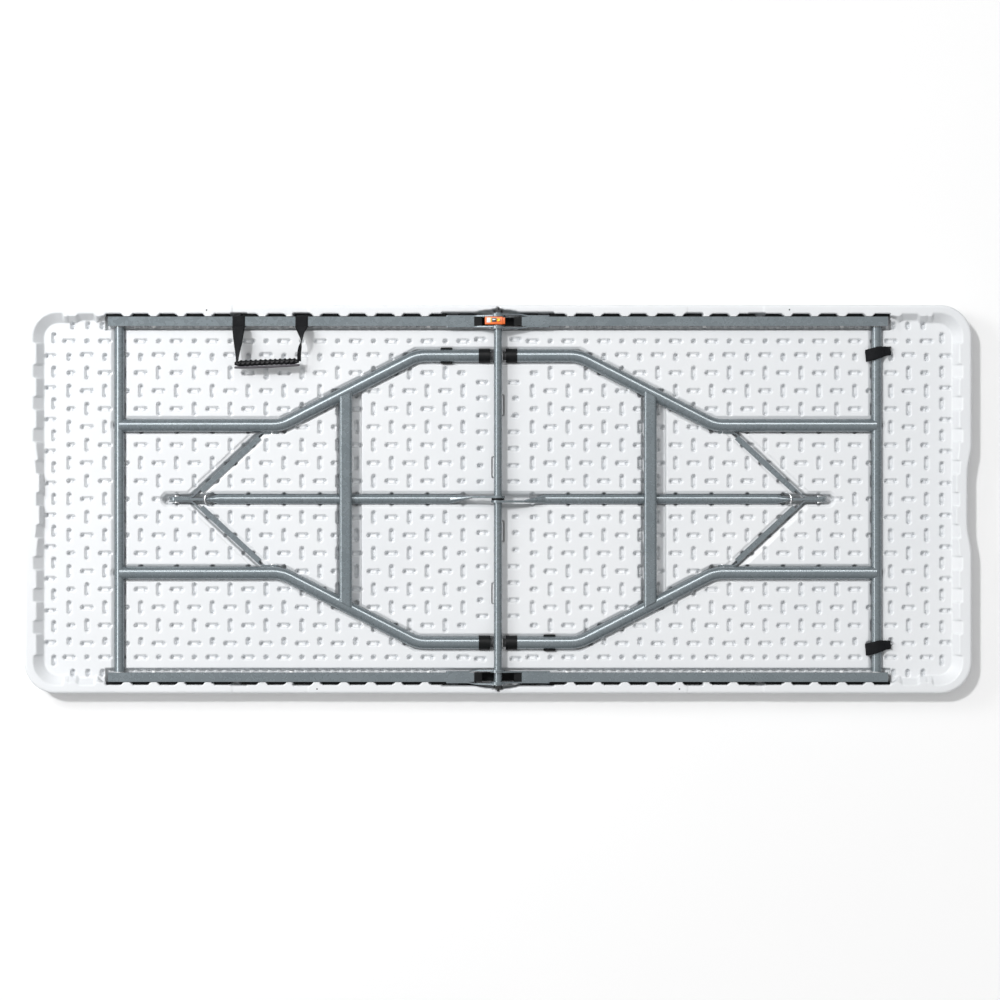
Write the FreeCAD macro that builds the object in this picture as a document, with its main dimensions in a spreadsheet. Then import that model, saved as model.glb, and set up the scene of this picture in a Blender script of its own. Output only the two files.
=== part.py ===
"""Fold-in-half table, lying on its top with the legs folded into the underside.

Each half is drawn once, as the left half, and the right half is the same set of pieces turned
half a turn about Z. X runs along the table, Y across it, and Z up from the tabletop face.
"""
import FreeCAD, Part
import math
import os

Vector = FreeCAD.Vector
UP = Vector(0, 0, 1)
ALONG = Vector(1, 0, 0)
ACROSS = Vector(0, 1, 0)

DIMENSIONS = (
    ("half_length", 915, "one panel, from seam to short edge"),
    ("half_width", 375, "centre line to long edge"),
    ("corner_radius", 62, "outer corner of the panel"),
    ("rim_height", 44.6, "tabletop face to rim"),
    ("plateau_height", 27, "tabletop face to the moulded underside"),
    ("groove_floor", 12, "floor of the grooves that hold the legs"),
    ("channel_floor", 5.8, "floor of the middle channel"),
    ("rail_floor", 16.5, "floor of the channels that hold the rails"),
    ("rim_width", 21.8, "rim along the long edges"),
    ("end_rim_width", 24, "rim along the short edge"),
    ("notch_depth", 5, "notches in the inner face of the rim"),
    ("seam_gap", 0.5, "panel edge to the middle of the seam"),
    ("tab_reach", 11.5, "seam tabs past the seam"),
    ("tab_width", 46, "seam tabs"),
    ("tab_place", 62, "first seam tab from the centre line"),
    ("rail_width", 18, "side rail"),
    ("rail_tall", 24.5, "side rail"),
    ("rail_sheet", 1.5, "side rail wall"),
    ("rail_inner", 334.5, "centre line to the inner face of the rail"),
    ("rail_bottom", 19, "tabletop face to the lower edge of the rail"),
    ("rail_start", 753, "seam to the outer end of the rail"),
    ("rail_end", 46, "seam to the inner end of the rail"),
    ("hinge_height", 45, "tabletop face to the fold axis"),
    ("hinge_radius", 8, "hinge tube"),
    ("hinge_wall", 1.5, "hinge tube wall"),
    ("hinge_reach", 360, "centre line to the end of the hinge tube"),
    ("plate_sheet", 2.5, "hinge plates"),
    ("plate_eye", 14.5, "radius of the eyes of the hinge plates"),
    ("plate_length", 100, "fold axis to the end of a hinge plate"),
    ("pivot_place", 732.3, "seam to the leg pivot"),
    ("pivot_height", 27, "tabletop face to the leg pivot and leg tubes"),
    ("cross_radius", 10, "cross tube on the leg pivot"),
    ("leg_radius", 12.7, "leg tube"),
    ("leg_wall", 1.4, "steel tube walls"),
    ("leg_near", 142.6, "centre line to a leg tube at the pivot"),
    ("leg_far", 277.5, "centre line to a leg tube at the foot"),
    ("leg_turn_out", 419, "seam to the bend nearer the pivot"),
    ("leg_turn_back", 156, "seam to the bend nearer the foot"),
    ("leg_bend", 70, "bend radius of the leg tube"),
    ("leg_tip", 36.5, "seam to the end of the leg tube"),
    ("cap_radius", 13.9, "foot cap"),
    ("cap_end", 15.4, "seam to the end of the foot cap"),
    ("glide_radius", 8.4, "foot glide"),
    ("glide_end", 9.2, "seam to the end of the foot glide"),
    ("bar_place", 294.3, "seam to the cross bar"),
    ("bar_width", 25, "cross bar"),
    ("bar_bottom", 30.6, "tabletop face to the cross bar"),
    ("bar_tall", 12, "cross bar"),
    ("brace_radius", 9.5, "brace tube"),
    ("brace_height", 20.5, "tabletop face to the brace tube"),
    ("joint_place", 622, "seam to the pin between brace and yoke"),
    ("brace_start", 540, "seam to the outer end of the round brace tube"),
    ("brace_end", 92, "seam to the inner end of the round brace tube"),
    ("brace_flat", 5, "flattened brace end at the yoke pin"),
    ("brace_flat_tall", 21, "flattened brace end at the yoke pin"),
    ("eye_flat", 4.4, "flattened brace end at the hinge tube"),
    ("eye_radius", 13.5, "rounded brace end at the hinge tube"),
    ("eye_offset", 4.4, "centre line to the middle of that flattened end"),
    ("yoke_place", 436, "seam to the rivets between yoke and legs"),
    ("yoke_sheet", 2.5, "yoke strip"),
    ("yoke_tall", 14, "yoke strip"),
    ("pin_radius", 4, "pins and rivets of the braces"),
    ("running_gap", 0.06, "running fits, on the radius"),
    ("ring_wire", 1.5, "wire radius of the locking ring"),
    ("ring_half_width", 12, "locking ring, to the middle of the wire"),
    ("ring_half_length", 16.5, "locking ring, to the middle of the wire"),
    ("ring_place", 556, "seam to the locking ring"),
    ("ring_tilt", 42, "locking ring, degrees from upright"),
    ("grip_radius", 7, "carrying handle"),
    ("grip_length", 125, "carrying handle"),
    ("grip_place", 447, "seam to the middle of the handle"),
    ("grip_reach", 262, "centre line to the handle"),
    ("grip_height", 50, "tabletop face to the handle"),
    ("web_width", 24, "handle webbing"),
    ("web_sheet", 1.2, "handle webbing"),
    ("web_middle", 440, "seam to midway between the webs"),
    ("web_spread", 60, "that middle to each web"),
    ("strap_place", 284, "centre line to the tie straps"),
    ("strap_width", 20, "tie strap"),
)

doc = FreeCAD.newDocument("FoldingTable")
sheet = doc.addObject("Spreadsheet::Sheet", "Sizes")
for row, (alias, value, note) in enumerate(DIMENSIONS, 1):
    sheet.set(f"A{row}", note)
    sheet.set(f"B{row}", str(value))
    sheet.setAlias(f"B{row}", alias)
doc.recompute()

nodes = []


def size(alias):
    """A driving dimension, in mm."""
    return float(sheet.get(alias))


def bind(thing, **expressions):
    """Ties properties to the sheet. Words that are aliases stand for their cells."""
    for name, text in expressions.items():
        for alias in sorted((row[0] for row in DIMENSIONS), key=len, reverse=True):
            text = " ".join(f"Sizes.{alias}" if word == alias else word for word in text.split(" "))
        thing.setExpression(name, text)


def keep(thing, label, turn=0):
    """Names a finished piece and turns it about Z to its own half of the table."""
    thing.Label = label
    thing.Placement = FreeCAD.Placement(Vector(), FreeCAD.Rotation(UP, turn)) * thing.Placement
    nodes.append(thing)
    return thing


# Outlines. A corner is (x, y) or (x, y, radius).
def outline(corners):
    """Lines and tangent arcs of a closed outline."""
    spans = []
    for i, corner in enumerate(corners):
        here = Vector(corner[0], corner[1], 0)
        radius = corner[2] if len(corner) > 2 else 0
        if not radius:
            spans.append((here, here, None))
            continue
        before = Vector(*corners[i - 1][:2], 0)
        after = Vector(*corners[(i + 1) % len(corners)][:2], 0)
        to_before = (before - here).normalize()
        to_after = (after - here).normalize()
        half = to_before.getAngle(to_after) / 2
        cut = radius / math.tan(half)
        middle = here + (to_before + to_after).normalize() * (radius / math.sin(half))
        spans.append((here + to_before * cut, here + to_after * cut, middle))
    edges = []
    for i, (start, end, middle) in enumerate(spans):
        if middle is not None:
            edges.append(corner_arc(start, end, middle))
        following = spans[(i + 1) % len(spans)][0]
        if (following - end).Length > 1e-6:
            edges.append(Part.LineSegment(end, following))
    return edges


def corner_arc(start, end, middle):
    """The short arc from start to end about middle."""
    radius = (start - middle).Length
    first = math.atan2(start.y - middle.y, start.x - middle.x)
    last = math.atan2(end.y - middle.y, end.x - middle.x)
    if (last - first) % (2 * math.pi) > math.pi:
        first, last = last, first
    return Part.ArcOfCircle(Part.Circle(middle, UP, radius), first, last)


def circle(x, y, radius):
    """A circle as an outline of its own."""
    return [Part.Circle(Vector(x, y, 0), UP, radius)]


def mirrored(corners):
    """The same outline on the other side of the centre line."""
    return [(corner[0], -corner[1], *corner[2:]) for corner in corners]


def box_corners(x0, y0, x1, y1, radius=0):
    """The corners of a rectangle."""
    return [(x0, y0, radius), (x1, y0, radius), (x1, y1, radius), (x0, y1, radius)]


# PartDesign pieces
def new_body(name):
    return doc.addObject("PartDesign::Body", name)


def sketch_in(body, name, outlines, level="0", plane="XY_Plane"):
    """A sketch of closed outlines on one of the body's own planes, raised by level."""
    sketch = body.newObject("Sketcher::SketchObject", name)
    origin_plane = next(f for f in body.Origin.OriginFeatures if f.Role == plane)
    sketch.AttachmentSupport = [(origin_plane, "")]
    sketch.MapMode = "FlatFace"
    bind(sketch, **{"AttachmentOffset.Base.z": level})
    for edges in outlines:
        for edge in edges:
            sketch.addGeometry(edge, False)
    return sketch


def pad(body, name, outlines, length, level="0", plane="XY_Plane", midplane=False):
    """Adds a prism to the body."""
    feature = body.newObject("PartDesign::Pad", name)
    feature.Profile = sketch_in(body, name + "Outline", outlines, level, plane)
    bind(feature, Length=length)
    feature.Midplane = midplane
    doc.recompute()
    return feature


def pocket(body, name, outlines, depth, level, plane="XY_Plane"):
    """Cuts a prism down from level, and proves that it cut something."""
    before = body.Shape.Volume
    feature = body.newObject("PartDesign::Pocket", name)
    feature.Profile = sketch_in(body, name + "Outline", outlines, level, plane)
    bind(feature, Length=depth)
    doc.recompute()
    if body.Shape.Volume > before - 1:
        raise RuntimeError(f"{name} cuts nothing")
    return feature


def repeat(body, feature, axis, count, pitch):
    """Repeats a feature along one of the body's own axes."""
    pattern = body.newObject("PartDesign::LinearPattern", feature.Name + "Row")
    pattern.Originals = [feature]
    line = next(f for f in body.Origin.OriginFeatures if f.Role == axis)
    pattern.Direction = (line, [""])
    pattern.Length = pitch * (count - 1)
    pattern.Occurrences = count
    body.Tip = pattern
    doc.recompute()
    return pattern


# Part pieces
def box(name, low, high):
    """A box between two corners."""
    feature = doc.addObject("Part::Box", name)
    feature.Length, feature.Width, feature.Height = [b - a for a, b in zip(low, high)]
    feature.Placement.Base = Vector(*low)
    return feature


def rod(name, start, direction, radius, length):
    """A cylinder whose radius and length follow the sheet."""
    feature = doc.addObject("Part::Cylinder", name)
    bind(feature, Radius=radius, Height=length)
    feature.Placement = FreeCAD.Placement(Vector(*start), FreeCAD.Rotation(UP, direction))
    return feature


def cut(name, base, tool):
    feature = doc.addObject("Part::Cut", name)
    feature.Base, feature.Tool = base, tool
    return feature


def common(name, base, tool):
    feature = doc.addObject("Part::Common", name)
    feature.Base, feature.Tool = base, tool
    return feature


def fuse(name, shapes):
    feature = doc.addObject("Part::MultiFuse", name)
    feature.Shapes = shapes
    return feature


def group(name, shapes):
    """Separate solids of one kind, kept as one node."""
    feature = doc.addObject("Part::Compound", name)
    feature.Links = shapes
    return feature


# The moulded panel
def panel_outline():
    """The left panel from above: rounded outer corners, waisted short edge, seam tabs."""
    x0, y0 = -size("half_length"), size("half_width")
    waist, waist_edge, waist_flat, soft = 8, 100, 55, 60
    corner = size("corner_radius")
    edge, reach, half = -size("seam_gap"), size("tab_reach"), size("tab_width") / 2
    chamfer, room = 4, size("seam_gap")
    corners = [(edge, -y0), (x0, -y0, corner)]
    corners += [(x0, -waist_edge, soft), (x0 + waist, -waist_flat, soft)]
    corners += [(x0 + waist, waist_flat, soft), (x0, waist_edge, soft)]
    corners += [(x0, y0, corner), (edge, y0)]
    first = size("tab_place")
    for middle, outward in ((3 * first - 4, 1), (first, -1), (-first, 1), (4 - 3 * first, -1)):
        far = outward * (reach - room if outward > 0 else reach + room)
        wide = half - (room if outward > 0 else -room)
        corners += [(edge, middle + wide), (far - outward * chamfer, middle + wide)]
        corners += [(far, middle + wide - chamfer), (far, middle - wide + chamfer)]
        corners += [(far - outward * chamfer, middle - wide), (edge, middle - wide)]
    return corners


def rim_outline():
    """The inner edge of the rim, which is open at the seam."""
    x0 = size("end_rim_width") - size("half_length")
    y0 = size("half_width") - size("rim_width")
    past_seam = 20
    return [(past_seam, -y0), (x0, -y0, 40), (x0, y0, 40), (past_seam, y0)]


def leg_route():
    """Corners of the centre line of the rear leg tube, from pivot to foot."""
    near, far = size("leg_near"), size("leg_far")
    return [
        (-size("pivot_place"), near),
        (-size("leg_turn_out"), near),
        (-size("leg_turn_back"), far),
        (-size("leg_tip"), far),
    ]


def leg_groove():
    """The groove round one leg tube, with mitred turns."""
    side = 18
    lean = math.atan2(size("leg_far") - size("leg_near"), size("leg_turn_out") - size("leg_turn_back"))
    shift = side * math.tan(lean / 2)
    (x0, near), (x1, _), (x2, far), _ = leg_route()
    past_seam = 20
    upper = [(x0, near + side), (x1 - shift, near + side, 60), (x2 - shift, far + side, 60)]
    lower = [(x2 + shift, far - side, 60), (x1 + shift, near - side, 60), (x0, near - side)]
    return upper + [(past_seam, far + side), (past_seam, far - side)] + lower


def yoke_groove():
    """The groove round one arm of the yoke."""
    side = 15
    start = (-size("joint_place") + 30, 0)
    end = (-size("yoke_place") - 18, size("leg_near") - 14)
    run = Vector(end[0] - start[0], end[1] - start[1], 0).normalize()
    off = Vector(-run.y, run.x, 0) * side
    return [
        (start[0] + off.x, start[1] + off.y),
        (start[0] - off.x, start[1] - off.y),
        (end[0] - off.x, end[1] - off.y),
        (end[0] + off.x, end[1] + off.y),
    ]


def make_panel(label, turn):
    body = new_body(label)
    pad(body, "Slab", [outline(panel_outline())], "plateau_height")
    rim_level = "plateau_height"
    pad(body, "Rim", [outline(panel_outline())], "rim_height - plateau_height", rim_level)
    inside = [outline(rim_outline())]
    pocket(body, "Tray", inside, "rim_height - plateau_height", "rim_height")
    inner, outer = size("rail_inner") - 6, size("half_width") - size("rim_width")
    start, past_seam = -size("rail_start") - 9, 20
    channel = box_corners(start, inner, past_seam, outer)
    down_to_rail = "plateau_height - rail_floor"
    pocket(body, "RailChannels", [outline(channel), outline(mirrored(channel))], down_to_rail, rim_level)
    groove = leg_groove()
    down_to_groove = "plateau_height - groove_floor"
    pocket(body, "LegGrooves", [outline(groove), outline(mirrored(groove))], down_to_groove, rim_level)
    side = 15
    pivot = -size("pivot_place")
    across = box_corners(pivot - side, -inner - 1, pivot + side, inner + 1)
    pocket(body, "PivotGroove", [outline(across)], down_to_groove, rim_level)
    joint, tail = -size("joint_place"), 34
    middle = box_corners(joint - tail, -14.5, past_seam, 14.5)
    pocket(body, "MiddleChannel", [outline(middle)], "plateau_height - channel_floor", rim_level)
    arm = yoke_groove()
    pocket(body, "YokeGrooves", [outline(arm), outline(mirrored(arm))], down_to_groove, rim_level)
    hinge = box_corners(-size("plate_length") - 6, outer - 1, past_seam, outer + 7)
    hinge_depth = "rim_height - rail_floor"
    pocket(body, "HingeRoom", [outline(hinge), outline(mirrored(hinge))], hinge_depth, "rim_height")
    nut = box_corners(-14, outer + 6, past_seam, size("half_width") - 3)
    pocket(body, "NutRoom", [outline(nut), outline(mirrored(nut))], "14", "rim_height")
    webs = []
    for place in web_places():
        half = size("web_width") / 2 + 2
        web = box_corners(place - half, outer - 1, place + half, outer + 4)
        webs += [outline(web), outline(mirrored(web))]
    pocket(body, "WebRoom", webs, hinge_depth, "rim_height")
    deep = size("notch_depth")
    first, wide, narrow = -743, 20, 15
    notch = [(first - wide, outer - 1), (first + wide, outer - 1)]
    notch += [(first + narrow, outer + deep), (first - narrow, outer + deep)]
    notches = [outline(notch), outline(mirrored(notch))]
    long_notch = pocket(body, "LongNotches", notches, hinge_depth, "rim_height")
    repeat(body, long_notch, "X_Axis", 13, 52.4)
    end = size("end_rim_width") - size("half_length")
    short = box_corners(end - deep, -251 - 13, end + 1, -251 + 13)
    short_notch = pocket(body, "EndNotches", [outline(short)], "rim_height - plateau_height", "rim_height")
    repeat(body, short_notch, "Y_Axis", 9, 62.75)
    return keep(body, label, turn)


def web_places():
    """Where the two webs of the handle lie along the table."""
    return [-size("web_middle") - size("web_spread"), -size("web_middle") + size("web_spread")]


# Steel and fittings of one half
def sides():
    """The two long edges: name and sign of Y, as seen from the left half."""
    return (("rear", 1), ("front", -1))


def named_side(side, turn):
    """A half turn swaps the long edges."""
    return side if turn == 0 else {"rear": "front", "front": "rear"}[side]


def across_y(sign, near, far):
    """Y of a span given from the centre line outwards."""
    return (near, far) if sign > 0 else (-far, -near)


def make_rail(label, turn, sign):
    """A channel, open towards the panel, with the hole for the pivot bush."""
    body = new_body(label + "Body")
    inner, sheet_width = size("rail_inner"), size("rail_sheet")
    low, high = across_y(sign, inner, inner + size("rail_width"))
    x0, x1 = -size("rail_start"), -size("rail_end")
    pad(body, "Bar", [outline(box_corners(x0, low, x1, high))], "rail_tall", "rail_bottom")
    hollow = box_corners(x0 - 1, low + sheet_width, x1 + 1, high - sheet_width)
    pocket(body, "Hollow", [outline(hollow)], "rail_tall - rail_sheet",
           "rail_bottom + rail_tall - rail_sheet")
    start = (-size("pivot_place"), sign * (inner - 1), size("pivot_height"))
    hole = rod(label + "Hole", start, ACROSS * sign, "cross_radius - 1", "rail_sheet + 2")
    return keep(cut(label + "Drilled", body, hole), label, turn)


def make_hinge_plates(label, turn, sign, joggle):
    """Two plates that carry the rail to the hinge tube. One end's pair nests outside the other's."""
    thick, eye, length = size("plate_sheet"), size("plate_eye"), size("plate_length")
    inner = size("rail_inner")
    outer = inner + size("rail_width")
    plates = []
    for name, face, outward in (("Outer", outer + 0.05, 1), ("Inner", inner - 0.05, -1)):
        shift = joggle * (thick + 0.3) * outward
        thick_out = thick * outward
        plan = [(-length, face), (-58, face), (-44, face + shift), (eye + 1, face + shift)]
        plan += [(x, y + thick_out) for x, y in reversed(plan)]
        strip = new_body(label + name)
        pad(strip, "Strip", [outline([(x, sign * y) for x, y in plan])], "60", "rail_bottom - 5")
        profile = new_body(label + name + "Profile")
        height = size("hinge_height")
        arm = [(-length, 25, 3), (-30, 25, 30), (0, height - eye)]
        arm += [(0, height + eye), (-45, 43, 30), (-length, 43, 3)]
        # The plane's own Y is the document's Z, and its normal points to -Y.
        pad(profile, "Arm", [outline(arm)], "900", "0", "XZ_Plane", True)
        pad(profile, "Eye", [circle(0, height, eye)], "900", "0", "XZ_Plane", True)
        plate = common(label + name + "Shape", strip, profile)
        start = (0, sign * (inner - 10), height)
        fit = "hinge_radius + running_gap"
        hole = rod(label + name + "Hole", start, ACROSS * sign, fit, "rail_width + 20")
        plates.append(cut(label + name + "Drilled", plate, hole))
    return keep(group(label + "Pair", plates), label, turn)


def make_hinge_block(label, turn, sign):
    """The plastic plug in the rail end, with a liner under the hinge."""
    low, high = across_y(sign, size("rail_inner") + 0.6, size("rail_inner") + size("rail_width") - 0.6)
    floor, top = size("rail_floor") + 1.8, size("rail_bottom") + size("rail_tall") - 0.5
    end = -size("rail_end") + 0.1
    plug = box(label + "Plug", (end, low, floor), (end + 15, high, top))
    liner = box(label + "Liner", (end, low, floor), (-2, high, floor + 1.7))
    return keep(fuse(label + "Whole", [plug, liner]), label, turn)


def make_rail_screws(label, turn):
    """Button heads that hold the rails to the panel."""
    heads = []
    inner = size("rail_inner")
    for _, sign in sides():
        for i in range(3):
            place = -665 + 265.5 * i
            height = size("rail_bottom") + 12
            start = (place, sign * inner, height)
            heads.append(rod(f"{label}{len(heads)}", start, ACROSS * -sign, "pin_radius", "plate_sheet"))
    return keep(group(label + "Heads", heads), label, turn)


def make_leg_clip(label, turn):
    """A plastic saddle in the groove that grips one leg tube near the foot."""
    body = new_body(label + "Body")
    middle, half, inside, wall = -99.5, 11.5, size("leg_radius") + 0.35, 2.6
    far, floor = size("leg_far"), size("groove_floor")
    outer = outline(box_corners(middle - half, far - inside - wall, middle + half, far + inside + wall, 2))
    pad(body, "Block", [outer], "pivot_height + 6 - groove_floor", "groove_floor")
    bore_start = (middle - half - 1, far, size("pivot_height"))
    bore = rod(label + "Bore", bore_start, ALONG, "leg_radius + 0.35", "cap_radius * 2")
    slot_low = (middle - half - 1, far - inside, size("pivot_height"))
    slot = box(label + "Slot", slot_low, (middle + half + 1, far + inside, floor + 30))
    return keep(cut(label + "Opened", cut(label + "Bored", body, bore), slot), label, turn)


def make_pivot_bushes(label, turn):
    """Nylon bushes in the rails, in which the leg turns."""
    bushes = []
    for side, sign in sides():
        start = (-size("pivot_place"), sign * (size("rail_inner") - 0.8), size("pivot_height"))
        collar = rod(label + side + "Collar", start, ACROSS * sign, "cross_radius - 1", "rail_sheet + 1.6")
        inside = "cross_radius - 4 + running_gap"
        bore = rod(label + side + "Bore", start, ACROSS * sign, inside, "rail_sheet + 1.6")
        bushes.append(cut(label + side, collar, bore))
    return keep(group(label + "Pair", bushes), label, turn)


# The leg frame
def make_cross_tube(label, turn):
    """The tube on the leg pivot, with a reduced journal at each end."""
    body = new_body(label + "Body")
    place, height, end = -size("pivot_place"), size("pivot_height"), size("rail_inner") - 1
    # The plane's own Y is the document's Z.
    tube = [circle(place, height, size("cross_radius")), circle(place, height, size("cross_radius") - 2)]
    pad(body, "Tube", tube, "rail_inner * 2 - 2", "0", "XZ_Plane", True)
    journals = []
    for side, sign in sides():
        start = (place, sign * (end - 14), height)
        journals.append(rod(label + side + "Core", start, ACROSS * sign, "cross_radius - 2", "14"))
        journals.append(rod(label + side + "Journal", start, ACROSS * sign, "cross_radius - 4", "26"))
    return keep(fuse(label + "Whole", [body] + journals), label, turn)


def make_leg_tube(label, turn, sign):
    """A bent tube, coped onto the cross tube."""
    body = new_body(label + "Body")
    (x0, near), (x1, _), (x2, far), (x3, _) = [(x, sign * y) for x, y in leg_route()]
    route = body.newObject("Sketcher::SketchObject", "Route")
    plane = next(f for f in body.Origin.OriginFeatures if f.Role == "XY_Plane")
    route.AttachmentSupport = [(plane, "")]
    route.MapMode = "FlatFace"
    bind(route, **{"AttachmentOffset.Base.z": "pivot_height"})
    bend = size("leg_bend")
    corners = [(x0, near), (x1, near, bend), (x2, far, bend), (x3, far)]
    for edge in outline(corners)[:-1]:
        route.addGeometry(edge, False)
    section = body.newObject("Sketcher::SketchObject", "Section")
    plane = next(f for f in body.Origin.OriginFeatures if f.Role == "YZ_Plane")
    section.AttachmentSupport = [(plane, "")]
    section.MapMode = "FlatFace"
    bind(section, **{"AttachmentOffset.Base.z": "0 - pivot_place"})
    for radius in (size("leg_radius"), size("leg_radius") - size("leg_wall")):
        section.addGeometry(circle(near, size("pivot_height"), radius)[0], False)
    doc.recompute()
    pipe = body.newObject("PartDesign::AdditivePipe", "Tube")
    pipe.Profile = section
    pipe.Spine = (route, [f"Edge{i + 1}" for i in range(route.GeometryCount)])
    doc.recompute()
    start = (-size("pivot_place"), sign * (size("leg_near") - 40), size("pivot_height"))
    seat = rod(label + "Seat", start, ACROSS * sign, "cross_radius", "80")
    coped = cut(label + "Coped", body, seat)
    rivet_start = (-size("yoke_place"), sign * (size("leg_near") - 16), size("brace_height"))
    hole = rod(label + "Hole", rivet_start, ACROSS * sign, "pin_radius", "12")
    return keep(cut(label + "Drilled", coped, hole), label, turn)


def make_cross_bar(label, turn):
    """A flattened tube across the legs, coped onto both."""
    body = new_body(label + "Body")
    place, bottom, tall = -size("bar_place"), size("bar_bottom"), size("bar_tall")
    half, wall, end = size("bar_width") / 2, size("leg_wall"), 203
    # The plane's own Y is the document's Z.
    shell = outline(box_corners(place - half, bottom, place + half, bottom + tall, tall / 2 - 0.1))
    low, high = bottom + wall, bottom + tall - wall
    inside = box_corners(place - half + wall, low, place + half - wall, high, tall / 2 - wall - 0.1)
    pad(body, "Bar", [shell, outline(inside)], "500", "0", "XZ_Plane", True)
    lean = math.atan2(size("leg_far") - size("leg_near"), size("leg_turn_out") - size("leg_turn_back"))
    shape = body
    for side, sign in sides():
        trim = new_body(label + side + "Trim")
        slope = half * 1.2 * math.tan(lean)
        ends = [(place - half * 1.2, sign * (end - slope)), (place + half * 1.2, sign * (end + slope))]
        ends += [(place + half * 1.2, sign * 300), (place - half * 1.2, sign * 300)]
        pad(trim, "Trim", [outline(ends)], "rim_height", "0")
        shape = cut(label + side + "Trimmed", shape, trim)
        middle_y = size("leg_near") + (size("leg_turn_out") - size("bar_place")) * math.tan(lean)
        direction = Vector(math.cos(lean), sign * math.sin(lean), 0)
        start = Vector(place, sign * middle_y, size("pivot_height")) - direction * 40
        seat = rod(label + side + "Seat", tuple(start), direction, "leg_radius", "80")
        shape = cut(label + side + "Coped", shape, seat)
    return keep(shape, label, turn)


def make_foot_cap(label, turn, sign):
    """A cup over the end of the leg tube."""
    start = (-size("leg_tip") - 0.6, sign * size("leg_far"), size("pivot_height"))
    cup = rod(label + "Cup", start, ALONG, "cap_radius", "leg_tip + 0.6 - cap_end")
    bore = rod(label + "Bore", start, ALONG, "leg_radius", "0.6")
    return keep(cut(label + "Bored", cup, bore), label, turn)


def make_foot_glides(label, turn):
    """The worn grey pads on the ends of both feet."""
    pads = []
    for side, sign in sides():
        start = (-size("cap_end"), sign * size("leg_far"), size("pivot_height"))
        pads.append(rod(label + side, start, ALONG, "glide_radius", "cap_end - glide_end"))
    return keep(group(label + "Pair", pads), label, turn)


# The yoke and the brace
def make_yoke_arm(label, turn, sign):
    """A strip on edge with a flange on its sloping part, riveted to a leg and pinned to the brace."""
    body = new_body(label + "Body")
    thick, tall = size("yoke_sheet"), size("yoke_tall")
    joint, leg = -size("joint_place"), -size("yoke_place")
    inside = size("brace_flat") / 2 + 0.3
    beside_leg = size("leg_near") - size("leg_radius") - thick - 0.4
    face = [(joint - 14, inside), (joint + 30, inside, 12)]
    face += [(leg - 22, beside_leg, 12), (leg + 10, beside_leg)]
    back = [(face[0][0], inside + thick), (face[1][0] - 1, inside + thick, 12 - thick)]
    back += [(face[2][0] - 1, beside_leg + thick, 12 + thick), (face[3][0], beside_leg + thick)]
    strip = face + list(reversed(back))
    mirrored_strip = [(corner[0], sign * corner[1], *corner[2:]) for corner in strip]
    bottom = "brace_height - yoke_tall / 2"
    pad(body, "Strip", [outline(mirrored_strip)], "yoke_tall", bottom)
    run = Vector(face[2][0] - face[1][0], face[2][1] - face[1][1], 0).normalize()
    off = Vector(run.y, -run.x, 0) * 8
    start = Vector(*face[1][:2], 0) + run * 22
    end = Vector(*face[2][:2], 0) - run * 8
    flange = [start, end, end + off, start + off]
    flange_outline = outline([(p.x, sign * p.y) for p in flange])
    pad(body, "Flange", [flange_outline], "yoke_sheet", "brace_height + yoke_tall / 2 - yoke_sheet")
    shape = body
    for name, place, y in (("Joint", joint, 0), ("Leg", leg, size("leg_near") - 20)):
        start = (place, sign * y, size("brace_height"))
        hole = rod(label + name + "Hole", start, ACROSS * sign, "pin_radius", "18")
        shape = cut(label + name + "Drilled", shape, hole)
    return keep(shape, label, turn)


def make_yoke_pins(label, turn):
    """A headed stub of the brace pin in each yoke arm."""
    inside = size("brace_flat") / 2 + 0.3
    stubs = []
    for side, sign in sides():
        start = (-size("joint_place"), sign * inside, size("brace_height"))
        head_start = (start[0], sign * (inside + size("yoke_sheet")), start[2])
        shank = rod(label + side + "Shank", start, ACROSS * sign, "pin_radius", "yoke_sheet + 1.5")
        head = rod(label + side + "Head", head_start, ACROSS * sign, "pin_radius * 1.6", "1.5")
        stubs.append(fuse(label + side, [shank, head]))
    return keep(group(label + "Pair", stubs), label, turn)


def make_brace_pin(label, turn):
    """The middle of the brace pin, pressed into the tongue of the brace tube."""
    reach = size("brace_flat") / 2 + 0.2
    start = (-size("joint_place"), -reach, size("brace_height"))
    return keep(rod(label + "Barrel", start, ACROSS, "pin_radius", "brace_flat + 0.4"), label, turn)


def make_leg_rivets(label, turn):
    """The rivets between the yoke arms and the leg tubes."""
    rivets = []
    for side, sign in sides():
        inner = size("leg_near") - size("leg_radius") - size("yoke_sheet") - 0.4
        start = (-size("yoke_place"), sign * (inner - 1.8), size("brace_height"))
        head = rod(label + side + "Head", start, ACROSS * sign, "pin_radius * 1.6", "1.8")
        shank = rod(label + side + "Shank", start, ACROSS * sign, "pin_radius - running_gap", "11")
        rivets.append(fuse(label + side, [head, shank]))
    return keep(group(label + "Pair", rivets), label, turn)


def make_taper(name, start, end):
    """A solid between two upright ellipses. Each is (x, y, z, half height, half width)."""
    upright = FreeCAD.Rotation(UP, ACROSS, ALONG * -1, "XYZ")
    rings = []
    for x, y, z, half_height, half_width in (start, end):
        ring = doc.addObject("Part::Ellipse", f"{name}Ring{len(rings)}")
        ring.MajorRadius, ring.MinorRadius = half_height, half_width
        ring.Placement = FreeCAD.Placement(Vector(x, y, z), upright)
        rings.append(ring)
    loft = doc.addObject("Part::Loft", name)
    loft.Sections = rings
    loft.Solid = True
    return loft


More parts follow.
